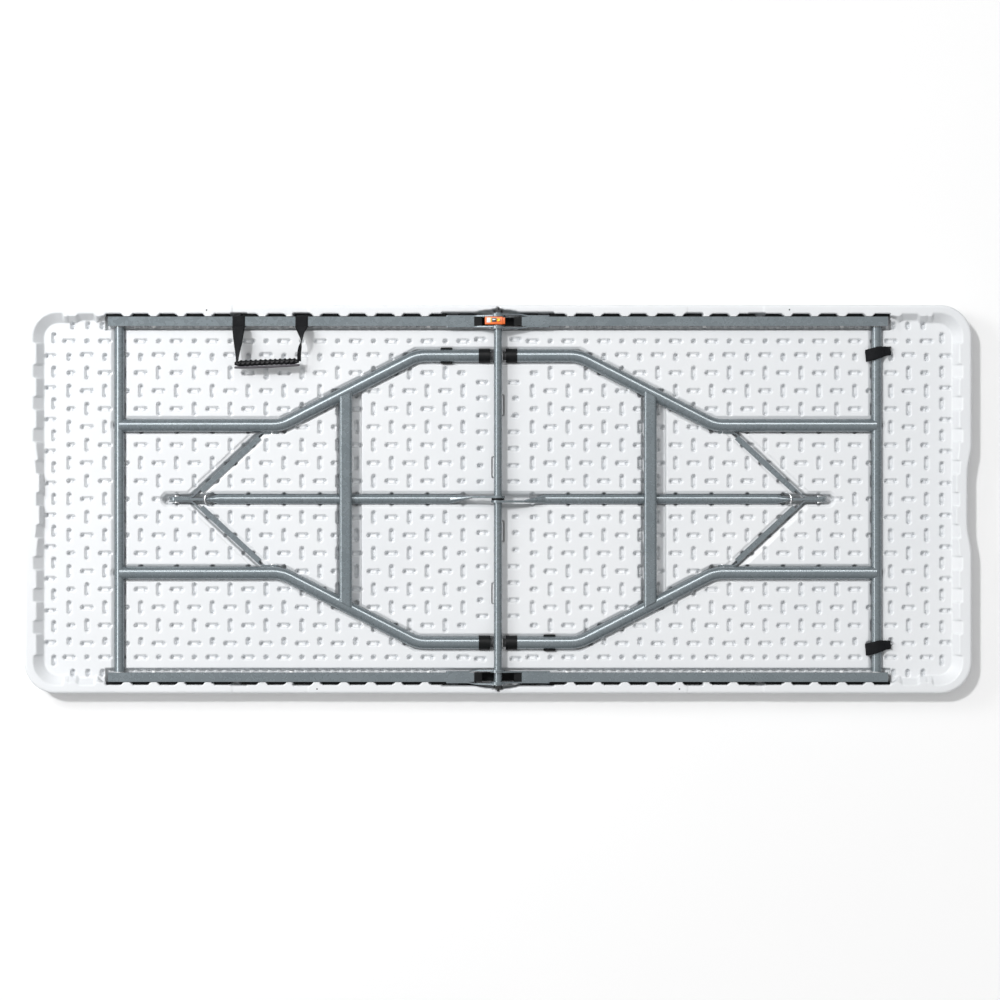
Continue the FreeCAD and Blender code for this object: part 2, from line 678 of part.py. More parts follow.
def make_brace_tube(label, turn):
    """A round tube, flattened to a tongue at the yoke and to a raised eye at the hinge tube."""
    start, end, height = -size("brace_start"), -size("brace_end"), size("brace_height")
    radius, hinge = size("brace_radius"), size("hinge_height")
    joint, shift = -size("joint_place"), size("eye_offset")
    round_length = "brace_start - brace_end"
    outside = rod(label + "Outside", (start, 0, height), ALONG, "brace_radius", round_length)
    inside = rod(label + "Inside", (start, 0, height), ALONG, "brace_radius - leg_wall", round_length)
    shapes = [cut(label + "Round", outside, inside)]
    flat, tall = size("brace_flat") / 2, size("brace_flat_tall") / 2
    tongue_x = start - 32
    shapes.append(make_taper(label + "OuterTaper", (start, 0, height, radius, radius),
                             (tongue_x, 0, height, tall, flat)))
    tongue = box_corners(joint - 13, height - tall, tongue_x + 2, height + tall)
    tongue[0] = (*tongue[0][:2], tall - 0.1)
    tongue[3] = (*tongue[3][:2], tall - 0.1)
    tongue_body = new_body(label + "TongueBody")
    # The plane's own Y is the document's Z.
    pad(tongue_body, "Tongue", [outline(tongue)], "brace_flat", "0", "XZ_Plane", True)
    shapes.append(tongue_body)
    eye_flat, eye = size("eye_flat"), size("eye_radius")
    crank_x, lift = end + 44, 15
    crank_height = height + lift
    shapes.append(make_taper(label + "InnerTaper", (end, 0, height, radius, radius),
                             (crank_x, shift, crank_height, eye - 1.5, eye_flat / 2)))
    low, high = crank_height - eye + 1.5, crank_height + eye - 1.5
    strap = [(crank_x - 1, low), (crank_x - 1, high), (-5, hinge + eye - 1)]
    strap += [(0, hinge), (5, hinge - eye + 1)]
    strap_body = new_body(label + "StrapBody")
    pad(strap_body, "Strap", [outline(strap)], "eye_flat", "0 - eye_offset", "XZ_Plane", True)
    shapes.append(strap_body)
    shapes.append(rod(label + "Disc", (0, shift - eye_flat / 2, hinge), ACROSS, "eye_radius", "eye_flat"))
    whole = fuse(label + "Whole", shapes)
    bore = rod(label + "Bore", (0, shift - 10, hinge), ACROSS, "hinge_radius + running_gap", "20")
    pin = rod(label + "PinHole", (joint, -10, height), ACROSS, "pin_radius", "20")
    return keep(cut(label + "PinDrilled", cut(label + "Drilled", whole, bore), pin), label, turn)


def make_ring(label, turn):
    """An oblong wire ring, loose and leaning on the brace tube."""
    half_width, half_length = size("ring_half_width"), size("ring_half_length")
    straight = half_length - half_width
    near, far = Vector(half_width, -straight, 0), Vector(half_width, straight, 0)
    other_near, other_far = Vector(-half_width, -straight, 0), Vector(-half_width, straight, 0)
    # A sweep starts where its section is, so the first side is split there.
    middle = Vector(half_width, 0, 0)
    path = [
        Part.LineSegment(middle, far),
        Part.Arc(far, Vector(0, half_length, 0), other_far),
        Part.LineSegment(other_far, other_near),
        Part.Arc(other_near, Vector(0, -half_length, 0), near),
        Part.LineSegment(near, middle),
    ]
    wire = Part.Wire([edge.toShape() for edge in path])
    section = Part.Wire([Part.Circle(middle, ACROSS, size("ring_wire")).toShape()])
    shape = wire.makePipeShell([section], True, True)
    feature = doc.addObject("Part::Feature", label + "Wire")
    feature.Shape = shape
    upright = FreeCAD.Rotation(ACROSS, 90 - size("ring_tilt")) * FreeCAD.Rotation(UP, 90)
    feature.Placement = FreeCAD.Placement(Vector(-size("ring_place"), 0, size("brace_height")), upright)
    return keep(feature, label, turn)


# Shared by both halves
def make_hinge_tube():
    """The fold axis: one tube across the table."""
    start = (0, -size("hinge_reach"), size("hinge_height"))
    outside = rod("HingeTubeOutside", start, ACROSS, "hinge_radius", "hinge_reach * 2")
    inside = rod("HingeTubeInside", start, ACROSS, "hinge_radius - hinge_wall", "hinge_reach * 2")
    return keep(cut("HingeTubeCut", outside, inside), "hinge_tube")


def make_hinge_nuts():
    """A hexagon head with a stub of thread at each end of the hinge tube."""
    nuts = []
    for side, sign in sides():
        start = (0, sign * size("hinge_reach"), size("hinge_height"))
        nut = doc.addObject("Part::Prism", "HingeNut" + side)
        nut.Polygon = 6
        nut.Circumradius = 8.6
        nut.Height = 5
        nut.Placement = FreeCAD.Placement(Vector(*start), FreeCAD.Rotation(UP, ACROSS * sign))
        stub = rod("HingeStub" + side, start, ACROSS * sign, "2.5", "10.5")
        nuts.append(fuse("HingeNutWhole" + side, [nut, stub]))
    return keep(group("HingeNutPair", nuts), "hinge_nuts")


def make_brace_spacer():
    """The plastic washer between the eyes of the two braces."""
    reach = size("eye_offset") - size("eye_flat") / 2 - 0.1
    start = (0, -reach, size("hinge_height"))
    outside = rod("SpacerOutside", start, ACROSS, "eye_radius - 1", f"{2 * reach}")
    inside = rod("SpacerInside", start, ACROSS, "hinge_radius", f"{2 * reach}")
    return keep(cut("SpacerCut", outside, inside), "brace_spacer")


def make_safety_latch():
    """The coloured slide that rides over the rear end of the hinge tube."""
    body = new_body("LatchBody")
    hinge = size("hinge_height")
    low = size("rail_inner") + 0.7
    high = size("rail_inner") + size("rail_width") - 0.7
    # The plane's own Y is the document's Z.
    side = [(-25.5, hinge + 9, 1.5), (-25.5, hinge + 14.5, 2), (10, hinge + 14.5, 2), (14, hinge + 9, 1)]
    pad(body, "Slide", [outline(side)], f"{high - low}", f"{-(high + low) / 2}", "XZ_Plane", True)
    return keep(body, "safety_latch")


def make_handle():
    """The moulded grip with two webs, and the loops that hold them to the rear rail."""
    reach, height, half = size("grip_reach"), size("grip_height"), size("web_width") / 2
    thin = size("web_sheet")
    start = (-size("grip_place") - size("grip_length") / 2, reach, height)
    grip = rod("GripRod", start, ALONG, "grip_radius", "grip_length")
    keep(grip, "handle_grip")
    inner = size("rail_inner")
    outer = inner + size("rail_width")
    low, high = size("rail_bottom"), size("rail_bottom") + size("rail_tall")
    for name, place in zip(("left", "right"), web_places()):
        gap = 0.35
        outside = box(
            name + "LoopOutside",
            (place - half, inner - gap - thin, low - gap - thin),
            (place + half, outer + gap + thin, high + gap + thin),
        )
        inside = box(
            name + "LoopInside",
            (place - half - 1, inner - gap, low - gap),
            (place + half + 1, outer + gap, high + gap),
        )
        keep(cut(name + "LoopCut", outside, inside), f"handle_loop_{name}")
        root_y, root_z, grip_y = inner - 3.2, high - 1, reach + size("grip_radius") + 0.1
        web = new_body(name + "Web")
        # The plane's own X is the document's Y, and its own Y is Z.
        side = [(grip_y, height), (root_y, root_z), (root_y, root_z + thin), (grip_y, height + thin)]
        level = f"{place}"
        pad(web, "Ribbon", [outline(side)], "web_width", level, "YZ_Plane", True)
        keep(web, f"handle_web_{name}")


def make_tie_strap(label, sign):
    """A tie strap over the right leg's cross tube, with its tail lying outwards."""
    body = new_body(label + "Body")
    place, height = -size("pivot_place"), size("pivot_height")
    inner, outer, foot = size("cross_radius") + 0.5, size("cross_radius") + 2.3, size("groove_floor") + 0.6
    # The plane's own Y is the document's Z.
    legs = [
        Part.ArcOfCircle(Part.Circle(Vector(place, height, 0), UP, outer), 0, math.pi),
        Part.LineSegment(Vector(place - outer, height, 0), Vector(place - outer, foot, 0)),
        Part.LineSegment(Vector(place - outer, foot, 0), Vector(place - inner, foot, 0)),
        Part.LineSegment(Vector(place - inner, foot, 0), Vector(place - inner, height, 0)),
        Part.ArcOfCircle(Part.Circle(Vector(place, height, 0), UP, inner), 0, math.pi),
        Part.LineSegment(Vector(place + inner, height, 0), Vector(place + inner, foot, 0)),
        Part.LineSegment(Vector(place + inner, foot, 0), Vector(place + outer, foot, 0)),
        Part.LineSegment(Vector(place + outer, foot, 0), Vector(place + outer, height, 0)),
    ]
    level = f"{-sign * size('strap_place')}"
    pad(body, "Arch", [legs], "strap_width", level, "XZ_Plane", True)
    half = size("strap_width") / 2
    y = sign * size("strap_place")
    tail_low = (place - outer - 15, y - half, height + 3)
    tail = box(label + "Tail", tail_low, (place - outer + 0.5, y + half, height + 5.5))
    return keep(fuse(label + "Whole", [body, tail]), label, 180)


def make_half(name, turn):
    """Every piece of one half, with its leg, yoke and brace."""
    make_panel(f"{name}_panel", turn)
    make_rail_screws(f"{name}_rail_screws", turn)
    make_leg_clip(f"{name}_leg_clip", turn)
    make_pivot_bushes(f"{name}_pivot_bushes", turn)
    make_cross_tube(f"{name}_cross_tube", turn)
    make_cross_bar(f"{name}_cross_bar", turn)
    make_foot_glides(f"{name}_foot_glides", turn)
    make_yoke_pins(f"{name}_yoke_pins", turn)
    make_brace_pin(f"{name}_brace_pin", turn)
    make_leg_rivets(f"{name}_leg_rivets", turn)
    make_brace_tube(f"{name}_brace_tube", turn)
    make_ring(f"{name}_locking_ring", turn)
    for side, sign in sides():
        end = f"{name}_{{}}_{named_side(side, turn)}"
        make_rail(end.format("rail"), turn, sign)
        make_hinge_plates(end.format("hinge_plates"), turn, sign, 0 if sign > 0 else 1)
        make_hinge_block(end.format("hinge_block"), turn, sign)
        make_leg_tube(end.format("leg_tube"), turn, sign)
        make_foot_cap(end.format("foot_cap"), turn, sign)
        make_yoke_arm(end.format("yoke_arm"), turn, sign)


def check_and_write():
    """Stops on any failed feature, then writes every node as a STEP file."""
    doc.recompute()
    for thing in doc.Objects:
        if {"Invalid", "Error"} & set(thing.State):
            raise RuntimeError(f"{thing.Label} failed: {thing.State}")
    os.makedirs("parts", exist_ok=True)
    for node in nodes:
        shape = node.Shape
        if shape.isNull() or not shape.isValid() or shape.Volume <= 0:
            raise RuntimeError(f"{node.Label} has no valid shape")
        shape.exportStep(f"parts/{node.Label}.step")
        print(f"{node.Label:28s} {shape.Volume / 1000:9.2f} cm3, {len(shape.Solids)} solids")


make_half("left", 0)
make_half("right", 180)
make_hinge_tube()
make_hinge_nuts()
make_brace_spacer()
make_safety_latch()
make_handle()
for strap_side, strap_sign in (("front", 1), ("rear", -1)):
    make_tie_strap(f"tie_strap_{strap_side}", strap_sign)
check_and_write()
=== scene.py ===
import math

import bpy
import numpy as np
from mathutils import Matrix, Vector


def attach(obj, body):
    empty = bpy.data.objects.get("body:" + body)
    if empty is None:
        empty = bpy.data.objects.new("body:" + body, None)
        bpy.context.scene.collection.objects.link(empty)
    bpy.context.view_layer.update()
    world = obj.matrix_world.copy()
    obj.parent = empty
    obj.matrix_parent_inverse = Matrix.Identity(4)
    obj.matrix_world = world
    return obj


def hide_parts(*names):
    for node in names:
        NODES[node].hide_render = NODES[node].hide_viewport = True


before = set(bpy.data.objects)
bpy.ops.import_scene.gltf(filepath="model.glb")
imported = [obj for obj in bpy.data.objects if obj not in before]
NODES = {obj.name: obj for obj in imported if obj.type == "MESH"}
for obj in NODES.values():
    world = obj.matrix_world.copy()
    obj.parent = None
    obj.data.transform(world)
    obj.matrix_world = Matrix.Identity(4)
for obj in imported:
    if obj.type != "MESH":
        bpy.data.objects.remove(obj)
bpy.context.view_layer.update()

MM = 0.001


# Materials
def new_material(name, **constants):
    """A Principled material. Constants go straight onto the shader's own sockets."""
    m = bpy.data.materials.new(name)
    m.use_nodes = True
    shader = m.node_tree.nodes["Principled BSDF"]
    for socket, value in constants.items():
        shader.inputs[socket.replace("_", " ")].default_value = value
    return m, m.node_tree, shader


def noise(tree, scale, detail=3.0, stretch=(1, 1, 1)):
    """Noise in the row frame, in features per metre."""
    place = tree.nodes.new("ShaderNodeTexCoord")
    mapping = tree.nodes.new("ShaderNodeMapping")
    mapping.inputs["Scale"].default_value = stretch
    texture = tree.nodes.new("ShaderNodeTexNoise")
    texture.inputs["Scale"].default_value = scale
    texture.inputs["Detail"].default_value = detail
    tree.links.new(place.outputs["Object"], mapping.inputs["Vector"])
    tree.links.new(mapping.outputs["Vector"], texture.inputs["Vector"])
    return texture.outputs["Fac"]


def ramp(tree, fac, low, high, start=0.3, end=0.7):
    """Runs from one colour to another as fac goes from start to end."""
    node = tree.nodes.new("ShaderNodeValToRGB")
    node.color_ramp.elements[0].position, node.color_ramp.elements[1].position = start, end
    node.color_ramp.elements[0].color = (*low, 1)
    node.color_ramp.elements[1].color = (*high, 1)
    tree.links.new(fac, node.inputs["Fac"])
    return node.outputs["Color"]


def span(tree, fac, low, high):
    """Maps 0.3 to 0.7 of fac onto a range."""
    node = tree.nodes.new("ShaderNodeMapRange")
    node.inputs["From Min"].default_value, node.inputs["From Max"].default_value = 0.3, 0.7
    node.inputs["To Min"].default_value, node.inputs["To Max"].default_value = low, high
    tree.links.new(fac, node.inputs["Value"])
    return node.outputs["Result"]


def bump(tree, shader, height, strength, distance):
    node = tree.nodes.new("ShaderNodeBump")
    node.inputs["Strength"].default_value = strength
    node.inputs["Distance"].default_value = distance
    tree.links.new(height, node.inputs["Height"])
    tree.links.new(node.outputs["Normal"], shader.inputs["Normal"])


def surface(name, low, high, rough, patch=14, grain=900, strength=0.25, depth=0.0002, **constants):
    """A finish that varies in patches and has a fine grain."""
    m, tree, shader = new_material(name, **constants)
    patches = noise(tree, patch, 4)
    tree.links.new(ramp(tree, patches, low, high), shader.inputs["Base Color"])
    tree.links.new(span(tree, noise(tree, patch * 5), *rough), shader.inputs["Roughness"])
    bump(tree, shader, noise(tree, grain, 2), strength, depth)
    return m


def webbing_material():
    """Black tape with a close weave across it."""
    m, tree, shader = new_material("webbing", Sheen_Weight=0.06, Sheen_Roughness=0.5,
                                   Specular_IOR_Level=0.12)
    place = tree.nodes.new("ShaderNodeTexCoord")
    waves = []
    for direction in ("X", "Y"):
        wave = tree.nodes.new("ShaderNodeTexWave")
        wave.bands_direction = direction
        wave.inputs["Scale"].default_value = 180
        wave.inputs["Distortion"].default_value = 0.6
        tree.links.new(place.outputs["Object"], wave.inputs["Vector"])
        waves.append(wave.outputs["Fac"])
    weave = tree.nodes.new("ShaderNodeMath")
    weave.operation = "MULTIPLY"
    tree.links.new(waves[0], weave.inputs[0])
    tree.links.new(waves[1], weave.inputs[1])
    low, high = (0.003, 0.0035, 0.0045), (0.014, 0.015, 0.018)
    colour = ramp(tree, weave.outputs["Value"], low, high, 0.0, 0.8)
    tree.links.new(colour, shader.inputs["Base Color"])
    tree.links.new(span(tree, noise(tree, 120), 0.7, 0.9), shader.inputs["Roughness"])
    bump(tree, shader, weave.outputs["Value"], 0.6, 0.0005)
    return m


HDPE = surface("moulded_white", (0.735, 0.755, 0.775), (0.77, 0.785, 0.80), (0.36, 0.5),
               patch=3, grain=1100, strength=0.22, depth=0.00025)
STEEL = surface("grey_powder_coat", (0.148, 0.180, 0.198), (0.173, 0.205, 0.223), (0.22, 0.32),
                patch=20, grain=1500, strength=0.008, depth=0.0001,
                Metallic=0.35, Coat_Weight=0.8, Coat_Roughness=0.08)
BLACK = surface("moulded_black", (0.004, 0.0045, 0.005), (0.009, 0.010, 0.011), (0.4, 0.58),
                patch=60, grain=2200, Specular_IOR_Level=0.12)
GRIP = surface("grip_black", (0.004, 0.004, 0.005), (0.009, 0.009, 0.011), (0.3, 0.45),
               patch=60, grain=1800, Specular_IOR_Level=0.18)
FLANGE = surface("grip_flange", (0.030, 0.027, 0.036), (0.052, 0.046, 0.060), (0.4, 0.55),
                 patch=60, grain=1800)
DARK_STEEL = surface("dark_steel", (0.012, 0.012, 0.013), (0.03, 0.03, 0.032), (0.3, 0.45),
                     patch=150, grain=1500, strength=0.1, Metallic=0.2)
ORANGE = surface("latch_orange", (0.86, 0.15, 0.02), (0.95, 0.20, 0.03), (0.3, 0.42),
                 patch=80, grain=1500)
ZINC = surface("bright_zinc", (0.62, 0.63, 0.64), (0.78, 0.79, 0.80), (0.2, 0.34),
               patch=150, grain=1500, strength=0.1, Metallic=1.0)
NUB = surface("pale_nylon", (0.90, 0.905, 0.90), (0.96, 0.96, 0.955), (0.25, 0.4), patch=90)
GLIDE = surface("grey_rubber", (0.04, 0.042, 0.045), (0.08, 0.083, 0.087), (0.6, 0.85),
                patch=120, grain=1600)
WHITE_PATCH = surface("patch_white", (0.80, 0.80, 0.80), (0.90, 0.90, 0.90), (0.4, 0.5),
                      patch=200)
BLACK_PATCH = surface("patch_black", (0.012, 0.012, 0.012), (0.03, 0.03, 0.03), (0.4, 0.5),
                      patch=200)
YELLOW_PATCH = surface("patch_yellow", (0.85, 0.62, 0.03), (0.95, 0.75, 0.06), (0.4, 0.5), patch=200)
WEBBING = webbing_material()


def finish_of(node):
    """The material of a carried-over CAD node."""
    if "rail_screws" in node or "pivot_bushes" in node:
        return NUB
    if node == "hinge_nuts":
        return DARK_STEEL
    if any(word in node for word in ("leg_rivets", "locking_ring", "yoke_pins", "brace_pin")):
        return ZINC
    if "foot_glides" in node:
        return GLIDE
    if any(word in node for word in ("leg_clip", "hinge_block", "foot_cap", "spacer")):
        return BLACK
    if "handle" in node or "tie_strap" in node:
        return WEBBING
    if node == "safety_latch":
        return ORANGE
    return HDPE if node.endswith("_panel") else STEEL


for name, node in NODES.items():
    node.data.materials.clear()
    node.data.materials.append(finish_of(name))


# Mesh helpers
def new_piece(name, points, faces, material, body, smooth=True):
    """A mesh piece from points in mm, riding on a CAD body."""
    mesh = bpy.data.meshes.new(name)
    mesh.from_pydata((np.asarray(points, float) * MM).tolist(), [], faces)
    mesh.materials.append(material)
    if smooth:
        mesh.polygons.foreach_set("use_smooth", [True] * len(mesh.polygons))
    mesh.update()
    piece = bpy.data.objects.new(name, mesh)
    bpy.context.scene.collection.objects.link(piece)
    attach(piece, body)
    return piece


def smooth_step(t):
    t = np.clip(t, 0, 1)
    return t * t * (3 - 2 * t)


def ring_faces(rings, count):
    """Quads between successive rings of count points, closed at both ends."""
    faces = []
    for r in range(rings - 1):
        a, b = r * count, (r + 1) * count
        for i in range(count):
            j = (i + 1) % count
            faces.append((a + i, a + j, b + j, b + i))
    faces.append(tuple(reversed(range(count))))
    faces.append(tuple(range((rings - 1) * count, rings * count)))
    return faces


# The moulded panels, drawn in mm as the left one. The right one is turned half a turn.
HALF_LENGTH, HALF_WIDTH, CORNER = 915.0, 375.0, 62.0
RIM, PLATEAU, GROOVE, CHANNEL, RAIL_FLOOR = 44.6, 27.0, 12.0, 5.8, 16.5
PITCH_X, PITCH_Y, FIRST_X = 34.65, 34.9, -829.3
EDGE = (0.0, 0.5, 1.2, 2.2, 3.4, 5.0)
LEG = ((-732.3, 142.6), (-419.0, 142.6), (-156.0, 277.5), (20.0, 277.5))
LEG_SLOPE = 0.513
YOKE_START, YOKE_AIM = (-600, -3.5), (0.733, 0.68)
# The rail's channel ends in an upright wall, which the grid meets with two close lines.
RAIL_EDGE, RAIL_WALL_LINES, DEEP_FLOOR = 353.2, (353.0, 353.4), 7.0
NOTCH_DEPTH, END_NOTCH_PITCH = 6.5, 61.8
LONG_NOTCH_DEPTH, LONG_NOTCH_PITCH, FIRST_LONG_NOTCH, LAST_LONG_NOTCH = 5, 52.4, -743, -60
CELL_PITCH = 17.32
WALL_RUN, EDGE_ROUNDING = 12.5, 5.0
PIT_RADIUS, PIT_WALL, PIT_WINDOW, PIT_LIMIT = 4.6, 1.9, 34, 2.5
UNCUT = 100  # a height above everything, where a trough leaves the surface alone


def lines():
    """Where the grid's lines run, denser at the outer edges."""
    step_x, step_y = PITCH_X / 20, PITCH_Y / 20
    xs = [-HALF_LENGTH + d for d in EDGE]
    first = FIRST_X - step_x * math.floor((FIRST_X - xs[-1] - 1) / step_x)
    xs += list(np.arange(first, -3.6, step_x)) + [-2.2, -1.2, -0.5]
    ys = [y for y in np.arange(0, HALF_WIDTH - EDGE[-1] - 1, step_y) if abs(y - RAIL_EDGE) > 0.9]
    ys = sorted(ys + list(RAIL_WALL_LINES)) + [HALF_WIDTH - d for d in reversed(EDGE)]
    return np.array(xs), np.array([-y for y in reversed(ys[1:])] + ys)


def waist(y):
    return 1 - smooth_step((np.abs(y) - 48) / 60)


def seam_shift(y):
    """How far the seam edge steps out at this panel's tabs and in for the other's."""
    shift = np.zeros_like(y)
    tabs, gaps = (11.0, 22.5), (-12.0, 23.5)
    for middle, (reach, half) in ((182, tabs), (-62, tabs), (62, gaps), (-182, gaps)):
        shift += reach * np.clip((half - np.abs(y - middle)) / 3.5, 0, 1)
    return shift


def warped(xs, ys):
    """Bends the rectangular grid onto the panel's real outline."""
    x, y = np.meshgrid(xs, ys)
    middle_x, middle_y = -HALF_LENGTH + CORNER, HALF_WIDTH - CORNER
    a = np.clip((middle_x - x) / CORNER, 0, 1)
    b = np.clip((np.abs(y) - middle_y) / CORNER, 0, 1)
    in_corner = (a > 0) & (b > 0)
    round_x = middle_x - CORNER * a * np.sqrt(1 - b * b / 2)
    round_y = np.sign(y) * (middle_y + CORNER * b * np.sqrt(1 - a * a / 2))
    wx = np.where(in_corner, round_x, x)
    wy = np.where(in_corner, round_y, y)
    wx = wx + 8 * waist(wy) * np.clip((-862 - x) / 53, 0, 1)
    wx = wx + seam_shift(y) * np.clip((x + 60) / 59.5, 0, 1)
    return wx, wy


def edge_distance(x, y):
    """From the outer outline inwards, without the seam."""
    middle_x, middle_y = -HALF_LENGTH + CORNER, HALF_WIDTH - CORNER
    side = np.minimum(x + HALF_LENGTH - 8 * waist(y), HALF_WIDTH - np.abs(y))
    corner = CORNER - np.hypot(x - middle_x, np.abs(y) - middle_y)
    return np.where((x < middle_x) & (np.abs(y) > middle_y), corner, side)


def rim_distance(x, y, end, side, radius):
    """Outwards from a rounded rectangle that is open at the seam."""
    qx, qy = (end + radius) - x, np.abs(y) - (side - radius)
    outside = np.hypot(np.maximum(qx, 0), np.maximum(qy, 0))
    return outside + np.minimum(np.maximum(qx, qy), 0) - radius


def trapezoid(offset, top, bottom):
    """1 within half of top, 0 beyond half of bottom."""
    return np.clip((bottom / 2 - np.abs(offset)) / ((bottom - top) / 2), 0, 1)


def along(x, y, points):
    """Distance to a run of straight lines."""
    best = np.full_like(x, 1e9)
    for (x0, y0), (x1, y1) in zip(points, points[1:]):
        dx, dy = x1 - x0, y1 - y0
        t = np.clip(((x - x0) * dx + (y - y0) * dy) / (dx * dx + dy * dy), 0, 1)
        best = np.minimum(best, np.hypot(x - x0 - t * dx, y - y0 - t * dy))
    return best


def wrapped(value, pitch):
    """The offset from the nearest whole number of pitches."""
    return (value + pitch / 2) % pitch - pitch / 2


def box_distance(x, y, x0, y0, x1, y1):
    qx = np.maximum(x0 - x, x - x1)
    qy = np.maximum(y0 - y, y - y1)
    return np.hypot(np.maximum(qx, 0), np.maximum(qy, 0)) + np.minimum(np.maximum(qx, qy), 0)


def sink(z, floor, distance, slope):
    """Lowers z to floor inside a shape, with walls that rise by slope outside it."""
    return np.minimum(z, floor + np.maximum(distance, 0) * slope)


def trough(z, distance, reaches, floors):
    """A groove with a low step at its edge and its depth kept for the middle."""
    return np.minimum(z, np.interp(distance, reaches, floors, right=UNCUT))


def rim_wall(x, y):
    """The plateau and the inner wall of the rim, with the notches at the table's end."""
    far = np.abs(y)
    at_rail = smooth_step((x + 776) / 12)
    notch = NOTCH_DEPTH * trapezoid(wrapped(y, END_NOTCH_PITCH), 24, 28) * (far < 275)
    corner = NOTCH_DEPTH * smooth_step((far - 300) / 3) * smooth_step((-838 - x) / 3)
    top_end = rim_distance(x, y, -891 + 6 * waist(y), RAIL_EDGE, 40) - np.maximum(notch, corner)
    base = rim_distance(x, y, -878.0, RAIL_EDGE - WALL_RUN * (1 - at_rail), 28)
    wall = np.clip(base / np.maximum(base - top_end, 0.8), 0, 1)
    return PLATEAU + (RIM - PLATEAU) * wall


def rail_channel(z, x, far):
    """The channel that the rail lies in, and the long notches along it."""
    in_row = (x < LAST_LONG_NOTCH) * (x > -830)
    long_notch = trapezoid(wrapped(x - FIRST_LONG_NOTCH, LONG_NOTCH_PITCH), 29, 40) * in_row
    reach = RAIL_EDGE + LONG_NOTCH_DEPTH * long_notch
    floor = np.where(far > RAIL_EDGE, DEEP_FLOOR, RAIL_FLOOR)
    z = np.where((x > -757) & (far > 340), np.where(far > reach, RIM, floor), z)
    in_channel = np.maximum(-758 - x, 328.5 - far)
    past_rail = (x < -757) & (x > -830)
    climb = np.clip((far - 341 - LONG_NOTCH_DEPTH * long_notch) / WALL_RUN, 0, 1)
    shifted = PLATEAU + (RIM - PLATEAU) * climb
    z = np.where(past_rail & (far > 330), np.minimum(z, shifted), z)
    return np.where(far < RAIL_EDGE, sink(z, RAIL_FLOOR, in_channel, 5), z)


def frame_grooves(z, x, far):
    """Room for the leg tubes, the cross tube, the brace and the yoke arms."""
    z = trough(z, along(x, far, LEG), (0, 10, 12.5, 16.4, 17.0), (GROOVE, 13, 22.6, 24.2, 27))
    pivot = np.hypot(x - LEG[0][0], np.maximum(far - 329, 0))
    z = trough(z, pivot, (0, 8, 10.5, 14.8, 15.4), (GROOVE, 13, 23.6, 25.2, 27))
    middle = np.hypot(np.maximum(-638 - x, 0), far)
    z = trough(z, middle, (0, 8.6, 10.4, 14.8, 15.4), (CHANNEL, CHANNEL, 22.6, 25.0, 27))
    # Each yoke arm has a slot with a low step on both sides. The arm runs in its own
    # direction, so its slot is measured along and across that.
    from_x, from_y = x - YOKE_START[0], far - YOKE_START[1]
    beside = from_x * YOKE_AIM[1] - from_y * YOKE_AIM[0]
    run = from_x * YOKE_AIM[0] + from_y * YOKE_AIM[1]
    arm_room = trough(z, beside, (-14.4, -13.6, -7.5, -4.5, 3.5, 5.0, 12.6, 13.6),
                      (27, 24.8, 24.0, 13, 13, 24, 25, 27))
    return np.where((run > -6) & (run < 205) & (np.abs(beside) < 14.4), arm_room, z)


def hinge_room(z, x, far):
    """Hollows for the hinge plates, the nuts and the hinge tube's end."""
    z = sink(z, DEEP_FLOOR, box_distance(x, far, -106, 353.3, 20, 357), 8)
    hollow = np.maximum(far - 361 + 4.5 * np.clip((-16 - x) / 28, 0, 1) ** 2, -46 - x)
    z = sink(z, DEEP_FLOOR, np.maximum(hollow, 353.3 - far), 8)
    z = sink(z, 34.5, box_distance(x, far, -10, 355, 20, 366), 6)
    return sink(z, 41.5, box_distance(x, far, -3.4, 355, 20, 371.5), 6)


def relief(x, y, bar_room):
    """The underside without its pits. The cross bar's room isn't the same in both halves."""
    far = np.abs(y)
    z = rail_channel(rim_wall(x, y), x, far)
    z = hinge_room(frame_grooves(z, x, far), x, far)
    leg_line = LEG[1][1] + (x - LEG[1][0]) * LEG_SLOPE
    bar = box_distance(x, far, bar_room[0], -1, bar_room[1], 400)
    z = np.where(far < leg_line, sink(z, GROOVE, bar, 8), z)
    for place in (-500.5, -379.5):
        # Where the handle's tape goes round the rail.
        z = sink(z, RAIL_FLOOR, box_distance(x, far, place - 14, 345, place + 14, 357), 8)
    on_rim = (x > -513) & (x < -365) & (far > 354)
    z = np.where(on_rim, np.minimum(z, RIM - 0.9), z)
    depth = np.clip(edge_distance(x, y), 0, EDGE_ROUNDING)
    drop = EDGE_ROUNDING - np.sqrt(EDGE_ROUNDING**2 - (EDGE_ROUNDING - depth) ** 2)
    return z - np.where(z > RIM - 8, drop, 0)


